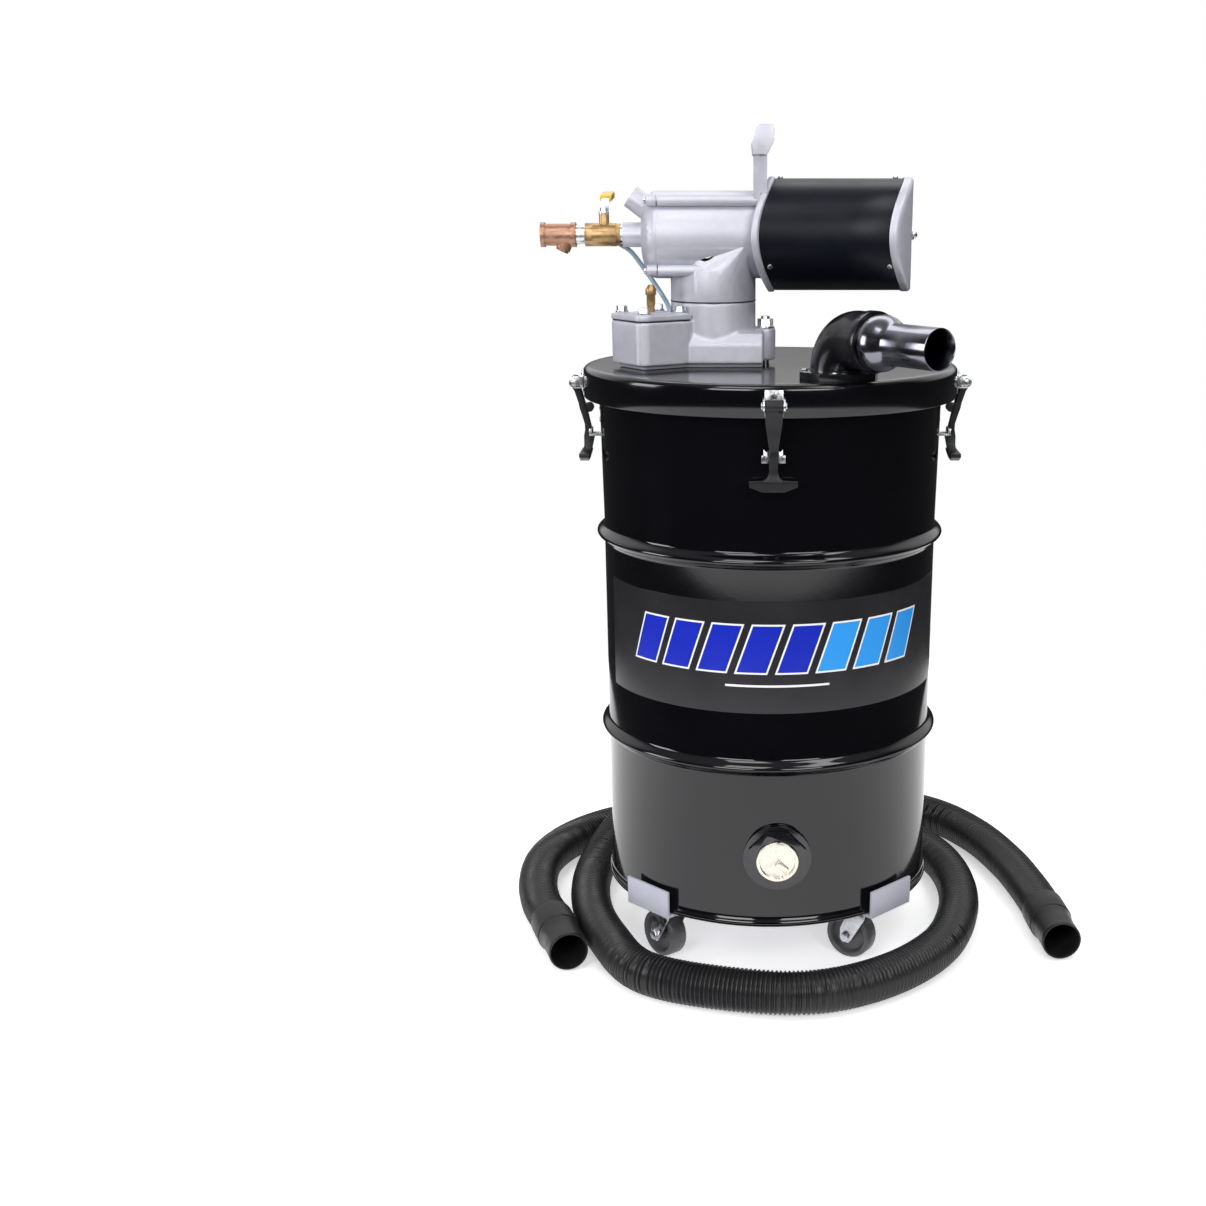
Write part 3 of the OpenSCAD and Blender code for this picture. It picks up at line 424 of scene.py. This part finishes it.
drum_radius = 0.233
drum_wall = 0.0014
drum_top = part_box("drum_shell")[1].z
hoop_heights = (0.327, 0.6086)
hoop_reach = 0.0105
hoop_half = 0.013
hoop_steps = 8
curl_radius = 0.0055
curl_reach = 0.004
curl_from, curl_round, curl_steps = -100, 280, 14
drum_sides = 160


def wall_rings(inset):
    """The wall from bottom to top with its rolled hoops, moved inwards by inset."""
    rings = []
    for height in hoop_heights:
        for k in range(-hoop_steps, hoop_steps + 1):
            bulge = hoop_reach * (1 + math.cos(math.pi * k / hoop_steps)) / 2
            rings.append((height + hoop_half * k / hoop_steps, drum_radius - inset + bulge))
    return rings


curl_centre = (drum_top - curl_radius, drum_radius + curl_reach)
curl_rings = []
for k in range(curl_steps + 1):
    sweep = math.radians(curl_from + curl_round * k / curl_steps)
    curl_rings.append((curl_centre[0] + curl_radius * math.sin(sweep),
                       curl_centre[1] + curl_radius * math.cos(sweep)))
chime_rings = mm([(107, 10), (107, 229), (106, 230), (96.2, 230), (95, 231.2), (95, 236.5),
                  (96.5, 238), (101, 238), (103, 236), (106, 234), (109, 233)])
floor_rings = mm([(109, 231.6), (108.4, 230.6), (108.4, 10)])
shell_outline = (chime_rings + wall_rings(0) + curl_rings
                 + list(reversed(wall_rings(drum_wall))) + floor_rings)
drum = turned("drum_shell_rolled", shell_outline, drum_sides)
smooth_by_angle(drum, 50)
drum_enamel = finish_of("drum_enamel", (0.0022, 0.0022, 0.0034), 0.085, mottle=0.2, mottle_scale=8,
                        rough_spread=0.02, bump=0.05, bump_scale=160)
fit(drum, drum_enamel, "vessel", "drum_black", "drum_shell")


# ---------------------------------------------------------------- drum label
# A wrap-round vinyl decal on the front of the drum, satin black with a row of slanted blue bars
# edged in white and a thin white rule under them. The pattern follows the decal's own UV map.

label_start, label_end = math.radians(-68), math.radians(76)
label_low, label_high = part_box("drum_label")[0].z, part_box("drum_label")[1].z
label_inner, label_outer = 0.23305, 0.23358
label_steps = 96
deselect_all()
bpy.ops.mesh.primitive_plane_add(size=1, location=(0, 0, 0))
label = bpy.context.object
label.name = "drum_label_decal"
start_out = Vector((math.sin(label_start), -math.cos(label_start), 0))
middle = (label_inner + label_outer) / 2
strip = Matrix.Identity(4)
strip.col[0][:3] = start_out * (label_outer - label_inner)
strip.col[1][:3] = (0, 0, label_high - label_low)
strip.col[2][:3] = start_out.cross(Vector((0, 0, 1)))
strip.col[3][:3] = start_out * middle + Vector((0, 0, (label_low + label_high) / 2))
label.data.transform(strip)
bpy.ops.object.mode_set(mode="EDIT")
bpy.ops.mesh.select_all(action="SELECT")
bpy.ops.mesh.spin(steps=label_steps, angle=label_start - label_end, center=(0, 0, 0),
                  axis=(0, 0, 1))
bpy.ops.mesh.select_all(action="SELECT")
bpy.ops.mesh.remove_doubles(threshold=1e-6)
bpy.ops.mesh.normals_make_consistent(inside=False)
bpy.ops.object.mode_set(mode="OBJECT")
if not label.data.uv_layers:
    label.data.uv_layers.new(name="decal")
for loop in label.data.loops:
    corner = label.data.vertices[loop.vertex_index].co
    round_the_drum = math.atan2(corner.x, -corner.y) * drum_radius
    label.data.uv_layers.active.data[loop.index].uv = (round_the_drum, corner.z)
smooth_by_angle(label, 30)

label_vinyl = finish_of("label_vinyl", (0.016, 0.016, 0.018), 0.22, mottle=0.1, mottle_scale=20,
                        rough_spread=0.03, bump=0.04, bump_scale=300)
made, join = node_tree(label_vinyl)


def number_node(operation, first, second=None, third=None):
    """One arithmetic step of the decal's pattern; each input is a number or another step."""
    step = made.new("ShaderNodeMath")
    step.operation = operation
    for socket, value in zip(step.inputs, (first, second, third)):
        if isinstance(value, (int, float)):
            socket.default_value = value
        elif value is not None:
            join.new(value, socket)
    return step.outputs[0]


def both(first, second):
    return number_node("MULTIPLY", first, second)


def between(value, low, high):
    return both(number_node("GREATER_THAN", value, low), number_node("LESS_THAN", value, high))


bar_count = 8
bar_pitch, bar_width, bar_edge = 0.054, 0.044, 0.0024
bars_left = -0.212
bars_low, bars_high = 0.458, 0.526
bar_slant = 0.35
light_bars_from = 0.56
rule_low, rule_high = 0.4405, 0.4435
rule_left, rule_right = -0.062, 0.078
dark_blue, light_blue, off_white = (0.006, 0.02, 0.42, 1), (0.03, 0.3, 0.78, 1), (0.8, 0.8, 0.82, 1)
decal_map = made.new("ShaderNodeUVMap")
decal_map.uv_map = label.data.uv_layers.active.name
apart = made.new("ShaderNodeSeparateXYZ")
join.new(decal_map.outputs["UV"], apart.inputs["Vector"])
along, upward = apart.outputs["X"], apart.outputs["Y"]
leaning = number_node("SUBTRACT", along, both(upward, bar_slant))
from_first = number_node("SUBTRACT", leaning, bars_left - bars_low * bar_slant)
in_pitch = number_node("FLOORED_MODULO", from_first, bar_pitch)
bar_number = number_node("FLOOR", number_node("DIVIDE", from_first, bar_pitch))
in_row = between(bar_number, -0.5, bar_count - 0.5)
white_bar = both(both(between(in_pitch, 0, bar_width), between(upward, bars_low, bars_high)),
                 in_row)
blue_bar = both(both(between(in_pitch, bar_edge, bar_width - bar_edge),
                     between(upward, bars_low + bar_edge, bars_high - bar_edge)), in_row)
rule = both(between(upward, rule_low, rule_high), between(along, rule_left, rule_right))
white = number_node("MAXIMUM", white_bar, rule)

blues = made.new("ShaderNodeValToRGB")
blues.color_ramp.interpolation = "CONSTANT"
blues.color_ramp.elements[0].color = dark_blue
blues.color_ramp.elements[1].position = light_bars_from
blues.color_ramp.elements[1].color = light_blue
join.new(number_node("DIVIDE", bar_number, bar_count), blues.inputs["Fac"])
base = made["Principled BSDF"].inputs["Base Color"]
plain = base.links[0].from_socket
with_white = made.new("ShaderNodeMix")
with_white.data_type = "RGBA"
with_white.inputs["B"].default_value = off_white
join.new(white, with_white.inputs["Factor"])
join.new(plain, with_white.inputs["A"])
with_blue = made.new("ShaderNodeMix")
with_blue.data_type = "RGBA"
join.new(blue_bar, with_blue.inputs["Factor"])
join.new(with_white.outputs["Result"], with_blue.inputs["A"])
join.new(blues.outputs["Color"], with_blue.inputs["B"])
join.new(with_blue.outputs["Result"], base)
fit(label, label_vinyl, "vessel", "label_satin", "drum_label")


# ---------------------------------------------------------------- drain port
# A flanged octagonal bung seat pressed into the drum's front, painted with it, closed by a
# nickel-plated steel bung with a recessed face and a small spot-welded bracket.

drain_enamel = finish_of("drain_enamel", (0.006, 0.006, 0.008), 0.14, mottle=0.2, mottle_scale=20,
                         rough_spread=0.03, bump=0.05, bump_scale=200, coat=0.5, coat_roughness=0.06)
finished("drain_flange", "_pressed", drain_enamel, "vessel", "drain_black", 0.0014, 3)
nickel = finish_of("warm_nickel", (0.72, 0.67, 0.58), 0.26, metal=1.0, mottle=0.12, mottle_scale=120,
                   rough_spread=0.08, bump=0.1, bump_scale=250)
finished("drain_cap", "_plated", nickel, "vessel", "nickel", 0.0007, 3)


# ---------------------------------------------------------------- lid and its gasket
# A spun steel lid with a deep turned-down skirt, gloss black like the drum, resting on a flat
# rubber ring on the drum's curl.

lid_radius = 0.2567
lid_top = 0.836
lid_wall = 0.0025
lid_under = lid_top - lid_wall
lid_middle = 0.01
skirt_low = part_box("lid_cover")[0].z
skirt_edge = 0.0006
lid_corner = 0.008
lid_rings = [(lid_under, lid_middle), (lid_under, 0.12), (lid_under, 0.22)]
for k in range(6):
    sweep = math.radians(90 - 18 * k)
    lid_rings.append((lid_top - lid_corner + (lid_corner - lid_wall) * math.sin(sweep),
                      lid_radius - lid_corner + (lid_corner - lid_wall) * math.cos(sweep)))
lid_rings += [(skirt_low, lid_radius - lid_wall), (skirt_low, lid_radius - skirt_edge),
              (skirt_low + skirt_edge, lid_radius)]
for k in range(10):
    sweep = math.radians(10 * k)
    lid_rings.append((lid_top - lid_corner + lid_corner * math.sin(sweep),
                      lid_radius - lid_corner + lid_corner * math.cos(sweep)))
lid_rings += [(lid_top, 0.24), (lid_top, 0.22), (lid_top, 0.12), (lid_top, lid_middle)]
lid = turned("lid_cover_spun", lid_rings, 192)
smooth_by_angle(lid, 50)
lid_enamel = finish_of("lid_enamel", (0.0022, 0.0022, 0.0034), 0.13, mottle=0.2, mottle_scale=8,
                       rough_spread=0.03, bump=0.06, bump_scale=160)
fit(lid, lid_enamel, "lid", "lid_black", "lid_cover")


# ---------------------------------------------------------------- latches
# Four over-centre draw latches: zinc brackets riveted to the lid skirt with a pin each, moulded
# rubber pull straps with a T handle, and zinc keepers riveted to the drum under them.

finished("latch_brackets", "_pressed", zinc, "lid", "zinc", 0.0005)
finished("latch_pins", "_headed", zinc, "lid", "zinc", 0.0008)
finished("latch_keepers", "_pressed", zinc, "vessel", "zinc", 0.0005)
finished("keeper_rivets", "_domed", zinc, "vessel", "zinc", 0.0009, 3)
strap_rubber = finish_of("strap_rubber", (0.014, 0.014, 0.016), 0.4, mottle=0.25, mottle_scale=60,
                         rough_spread=0.08, bump=0.2, bump_scale=450, specular=0.28)
for side in ("front", "right", "back", "left"):
    finished("latch_strap_" + side, "_moulded", strap_rubber, "strap_" + side, "rubber_black",
             0.0016, 3)


# ---------------------------------------------------------------- castings of the suction head
# Sand-cast aluminium sprayed with silver paint: the base with its float chamber, the venturi
# housing, the end cap and the carrying handle. Every corner of a casting has a soft fillet.

cast_silver = finish_of("cast_silver_paint", (0.52, 0.52, 0.585), 0.46, metal=0.35, mottle=0.04,
                        mottle_scale=90, rough_spread=0.05, bump=0.3, bump_scale=800,
                        bump_depth=0.0003)


def cast_copy(node, name, voxel, rounds):
    """A copy of a drawn node made one even skin, then relaxed so that its corners get fillets."""
    piece = welded_copy(node, name)
    bpy.ops.object.mode_set(mode="OBJECT")
    bpy.ops.object.modifier_add(type="REMESH")
    skin = piece.modifiers[-1]
    skin.mode = "VOXEL"
    skin.voxel_size = voxel
    skin.adaptivity = 0.0
    bpy.ops.object.modifier_apply(modifier=skin.name)
    bpy.ops.object.modifier_add(type="SMOOTH")
    relax = piece.modifiers[-1]
    relax.factor = 0.5
    relax.iterations = rounds
    bpy.ops.object.modifier_apply(modifier=relax.name)
    bpy.ops.object.shade_smooth()
    return piece


for node, voxel in (("base_casting", 0.0018), ("chamber_cover", 0.0011)):
    casting = cast_copy(node, node + "_cast", voxel, 4)
    fit(casting, cast_silver, "lid", "cast_silver", node)
for node, edge in (("venturi_housing", 0.0009), ("end_cap", 0.0009), ("carry_handle", 0.0024)):
    finished(node, "_cast", cast_silver, "lid", "cast_silver", edge, 3, 28)


# ---------------------------------------------------------------- bolts of the suction head
# Zinc-plated hexagon bolts and washers: four hold the chamber cover, one large one the base, and
# long tie screws clamp the end cap on to the barrel.

for node in ("chamber_bolts", "base_nut", "tie_screws"):
    finished(node, "_plated", zinc, "lid", "zinc", 0.0006)


# ---------------------------------------------------------------- gaskets and the cap's plug
# Cut rubber sheet between the lid and drum, under the chamber cover and under the neck; a
# blackened steel pipe plug with a hexagon socket closes the end cap's slanted boss.

sheet_rubber = finish_of("sheet_rubber", (0.02, 0.02, 0.022), 0.6, mottle=0.25, mottle_scale=80,
                         bump=0.2, bump_scale=500)
for node in ("lid_gasket", "chamber_gasket", "neck_gasket"):
    finished(node, "_cut", sheet_rubber, "lid", "rubber_black", 0.0002)
plug_steel = finish_of("plug_steel", (0.19, 0.19, 0.21), 0.42, metal=0.9, mottle=0.2, mottle_scale=150)
finished("cap_plug", "_socket", plug_steel, "lid", "zinc", 0.0006)


# ---------------------------------------------------------------- muffler
# A rolled and painted steel cover between two silver castings, the flange on the barrel and the
# end cap. Seams and end face follow one swept curve. Foam lines it; screws and a tie hold it.

muffler_radius = 0.072
muffler_level = 1.006
sweep_radius = 0.125
flange_left, cover_left, cover_right, ridge = -0.004, 0.005, 0.176, 0.189
seam_line = 0.0004
flange_bore, flange_lip = 0.046, 0.014
end_bore, end_lip, end_face, end_round, tie_hole = 0.064, 0.016, 0.005, 0.005, 0.004
lining_bore, lining_skin, lining_gap = 0.040, 0.0696, 0.001


def swept_back(piece):
    """Moves each point of a turned piece back along the barrel, further towards its two sides."""
    for point in piece.data.vertices:
        side = point.co.y
        point.co.x -= sweep_radius - math.sqrt(sweep_radius ** 2 - side ** 2)


def muffler_ring(name, outline, closed_loop):
    ring = turned(name, outline, 144, (0, 0, muffler_level), (1, 0, 0), closed_loop)
    swept_back(ring)
    smooth_by_angle(ring, 40)
    return ring


rim = muffler_radius + 0.0022
flange = muffler_ring("muffler_flange_cast", [
    (flange_left, flange_bore), (flange_left, rim - 0.0022), (flange_left + 0.0006, rim - 0.0008),
    (flange_left + 0.002, rim), (cover_left - 0.0018, rim), (cover_left - 0.0006, rim - 0.0005),
    (cover_left, rim - 0.0018), (cover_left, muffler_radius - 0.0021),
    (cover_left + flange_lip, muffler_radius - 0.0021), (cover_left + flange_lip, flange_bore),
    (flange_left, flange_bore)], True)
fit(flange, cast_silver, "lid", "cast_silver", "muffler_flange")

cover_skin = muffler_radius - 0.002
cover = muffler_ring("muffler_cover_rolled", [
    (cover_left + seam_line, cover_skin), (cover_left + seam_line, muffler_radius - 0.0004),
    (cover_left + 0.0008, muffler_radius), (0.06, muffler_radius), (0.12, muffler_radius),
    (cover_right - 0.0008, muffler_radius), (cover_right - seam_line, muffler_radius - 0.0004),
    (cover_right - seam_line, cover_skin), (cover_left + seam_line, cover_skin)], True)
cover_paint = finish_of("muffler_paint", (0.004, 0.005, 0.0095), 0.36, mottle=0.12, mottle_scale=30,
                        rough_spread=0.04, bump=0.12, bump_scale=600, specular=0.2)
fit(cover, cover_paint, "lid", "muffler_black", "muffler_cover")

end_rim = muffler_radius + 0.0016
end_outline = [(cover_right - end_lip, end_bore), (cover_right - end_lip, cover_skin - 0.0001),
               (cover_right, cover_skin - 0.0001), (cover_right, end_rim - 0.0014),
               (cover_right + 0.0004, end_rim - 0.0004), (cover_right + 0.0014, end_rim)]
for k in range(9):
    sweep = math.radians(90 * k / 8)
    end_outline.append((ridge - end_round + end_round * math.sin(sweep),
                        end_rim - end_round + end_round * math.cos(sweep)))
end_outline += [(ridge, 0.05), (ridge, 0.025), (ridge, tie_hole), (ridge - end_face, tie_hole),
                (ridge - end_face, 0.03), (ridge - end_face, end_bore),
                (cover_right - end_lip, end_bore)]
end = muffler_ring("muffler_end_cast", end_outline, True)
fit(end, cast_silver, "lid", "cast_silver", "muffler_end")

foam = finish_of("acoustic_foam", (0.05, 0.05, 0.052), 0.95, mottle=0.4, mottle_scale=260, bump=0.8,
                 bump_scale=420, bump_depth=0.0012)
lining_left, lining_right = cover_left + flange_lip + lining_gap, cover_right - end_lip - lining_gap
lining = muffler_ring("muffler_lining_foam", [
    (lining_left, lining_bore), (lining_left, lining_skin), (0.06, lining_skin), (0.11, lining_skin),
    (lining_right, lining_skin), (lining_right, lining_bore), (0.09, lining_bore),
    (lining_left, lining_bore)], True)
fit(lining, foam, "lid", "foam", "muffler_lining")

for node in ("muffler_screws", "muffler_tie"):
    finished(node, "_plated", zinc, "lid", "zinc", 0.0006)


# ---------------------------------------------------------------- air line
# Plated pipe nipples, a forged brass ball valve with a cranked steel lever in a yellow vinyl
# sleeve, and a bronze strainer with its screwed plug, all screwed together in one line.

brass = finish_of("rough_brass", (0.42, 0.27, 0.125), 0.4, metal=0.85, mottle=0.16, mottle_scale=110,
                  rough_spread=0.08, bump=0.25, bump_scale=500)
bronze = finish_of("red_bronze", (0.4, 0.225, 0.15), 0.44, metal=0.8, mottle=0.18, mottle_scale=120,
                   rough_spread=0.08, bump=0.35, bump_scale=420)
yellow_vinyl = finish_of("yellow_vinyl", (0.72, 0.47, 0.015), 0.3, mottle=0.08, mottle_scale=60,
                         bump=0.12, bump_scale=400, coat=0.3, coat_roughness=0.2)
ball_chrome = finish_of("ball_chrome", (0.66, 0.66, 0.68), 0.12, metal=1.0, mottle=0.06, mottle_scale=60)
for node, body, slot, paint, edge in (
        ("pipe_nipples", "lid", "zinc", zinc, 0.0006),
        ("valve_body", "lid", "brass", brass, 0.0009),
        ("strainer_body", "lid", "bronze", bronze, 0.001),
        ("strainer_plug", "lid", "bronze", bronze, 0.0007),
        ("valve_ball", "valve_handle", "nickel", ball_chrome, 0.0003),
        ("valve_lever", "valve_handle", "zinc", zinc, 0.0005),
        ("lever_sleeve", "valve_handle", "yellow_vinyl", yellow_vinyl, 0.0014)):
    finished(node, "_finished", paint, body, slot, edge, 3)


# ---------------------------------------------------------------- pilot air
# A turned brass breather screwed into the chamber cover, and a pale blue nylon tube that brings
# pilot air from behind the valve.

finished("pilot_fittings", "_turned", brass, "lid", "brass", 0.0005)
pilot_points = [Vector(p) / 1000 for p in (
    (-205, 9, 994), (-190, 14, 984), (-176.5, 18, 967), (-162, 16, 947), (-149, 4, 929.5),
    (-140.5, -9, 917), (-137.5, -14.5, 909), (-137.5, -14.5, 903.5))]
pilot_radius = 0.0031
pilot_route = smooth_route(pilot_points, steps=10)
pilot = tube_mesh("pilot_tube_nylon", pilot_route, [pilot_radius] * len(pilot_route), 20,
                  Vector((0, 1, 0)))
smooth_by_angle(pilot, 50)
pilot_nylon = finish_of("pilot_nylon", (0.3, 0.42, 0.52), 0.3, mottle=0.08, mottle_scale=60, coat=0.3)
fit(pilot, pilot_nylon, "lid", "tube_blue", "pilot_tube")


# ---------------------------------------------------------------- suction inlet
# A gloss black moulded elbow on an octagonal foot, held to the lid by four screws, and a dark
# chromed steel adapter with a bulged collar and a two-inch stub pressed into its mouth.

elbow_plastic = finish_of("elbow_plastic", (0.006, 0.006, 0.008), 0.2, mottle=0.15, mottle_scale=20,
                          rough_spread=0.04, bump=0.06, bump_scale=220)
finished("suction_elbow", "_moulded", elbow_plastic, "lid", "elbow_black", 0.001, 3)
finished("elbow_screws", "_plated", zinc, "lid", "zinc", 0.0007)

inlet_turn = math.radians(-54)
inlet_way = (math.cos(inlet_turn), math.sin(inlet_turn), 0)
inlet_centre = (0.084, -0.178, 0.885)
adapter_outer = mm([(54, 33.1), (71, 33.1), (71.6, 34), (74, 34.6), (79, 35), (85, 34.6),
                    (91, 33.2), (97, 30.6), (102, 28), (106, 26.2), (110, 25.4), (140, 25.4),
                    (184.6, 25.4), (185.6, 25.2), (186, 24.6)])
adapter_inner = mm([(186, 24.1), (185.4, 23.6), (140, 23.6), (110, 23.6), (104, 25.4), (97, 28.8),
                    (91, 31.3), (79, 33.2), (71, 31.3), (54, 31.3), (54, 33.1)])
adapter = turned("inlet_adapter_chromed", adapter_outer + adapter_inner, 96, inlet_centre, inlet_way,
                 closed_loop=True)
smooth_by_angle(adapter, 40)
dark_chrome = finish_of("dark_chrome", (0.2, 0.2, 0.235), 0.17, metal=1.0, mottle=0.12, mottle_scale=40,
                        rough_spread=0.05, bump=0.05, bump_scale=300)
fit(adapter, dark_chrome, "lid", "dark_chrome", "inlet_adapter")


# ---------------------------------------------------------------- inside the vessel
# A brass air nozzle in the barrel, a pleated paper filter ring between its end plates under the
# lid, and a moulded float that rises in a perforated cage to shut the port when the drum is full.

filter_paper = finish_of("filter_paper", (0.62, 0.58, 0.47), 0.85, mottle=0.12, mottle_scale=200,
                         bump=0.4, bump_scale=700)
float_plastic = finish_of("float_plastic", (0.6, 0.2, 0.03), 0.3, mottle=0.08, mottle_scale=40)
for node, body, slot, paint, edge in (
        ("nozzle", "lid", "brass", brass, 0.0005),
        ("filter_cartridge", "lid", "filter_paper", filter_paper, 0.0004),
        ("float_cage", "lid", "zinc", zinc, 0.0005)):
    finished(node, "_finished", paint, body, slot, edge)
float_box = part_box("float_ball")
float_centre = (float_box[0] + float_box[1]) / 2
float_radius = 0.0395
float_steps = 32
float_seam = 0.0004
float_rings = []
for k in range(1, float_steps):
    sweep = math.pi * k / float_steps
    seam = float_seam if k == float_steps // 2 else 0.0
    float_rings.append((-float_radius * math.cos(sweep), float_radius * math.sin(sweep) - seam))
ball = turned("float_ball_moulded", float_rings, 64, tuple(float_centre))
smooth_by_angle(ball, 60)
fit(ball, float_plastic, "float", "float_plastic", "float_ball")
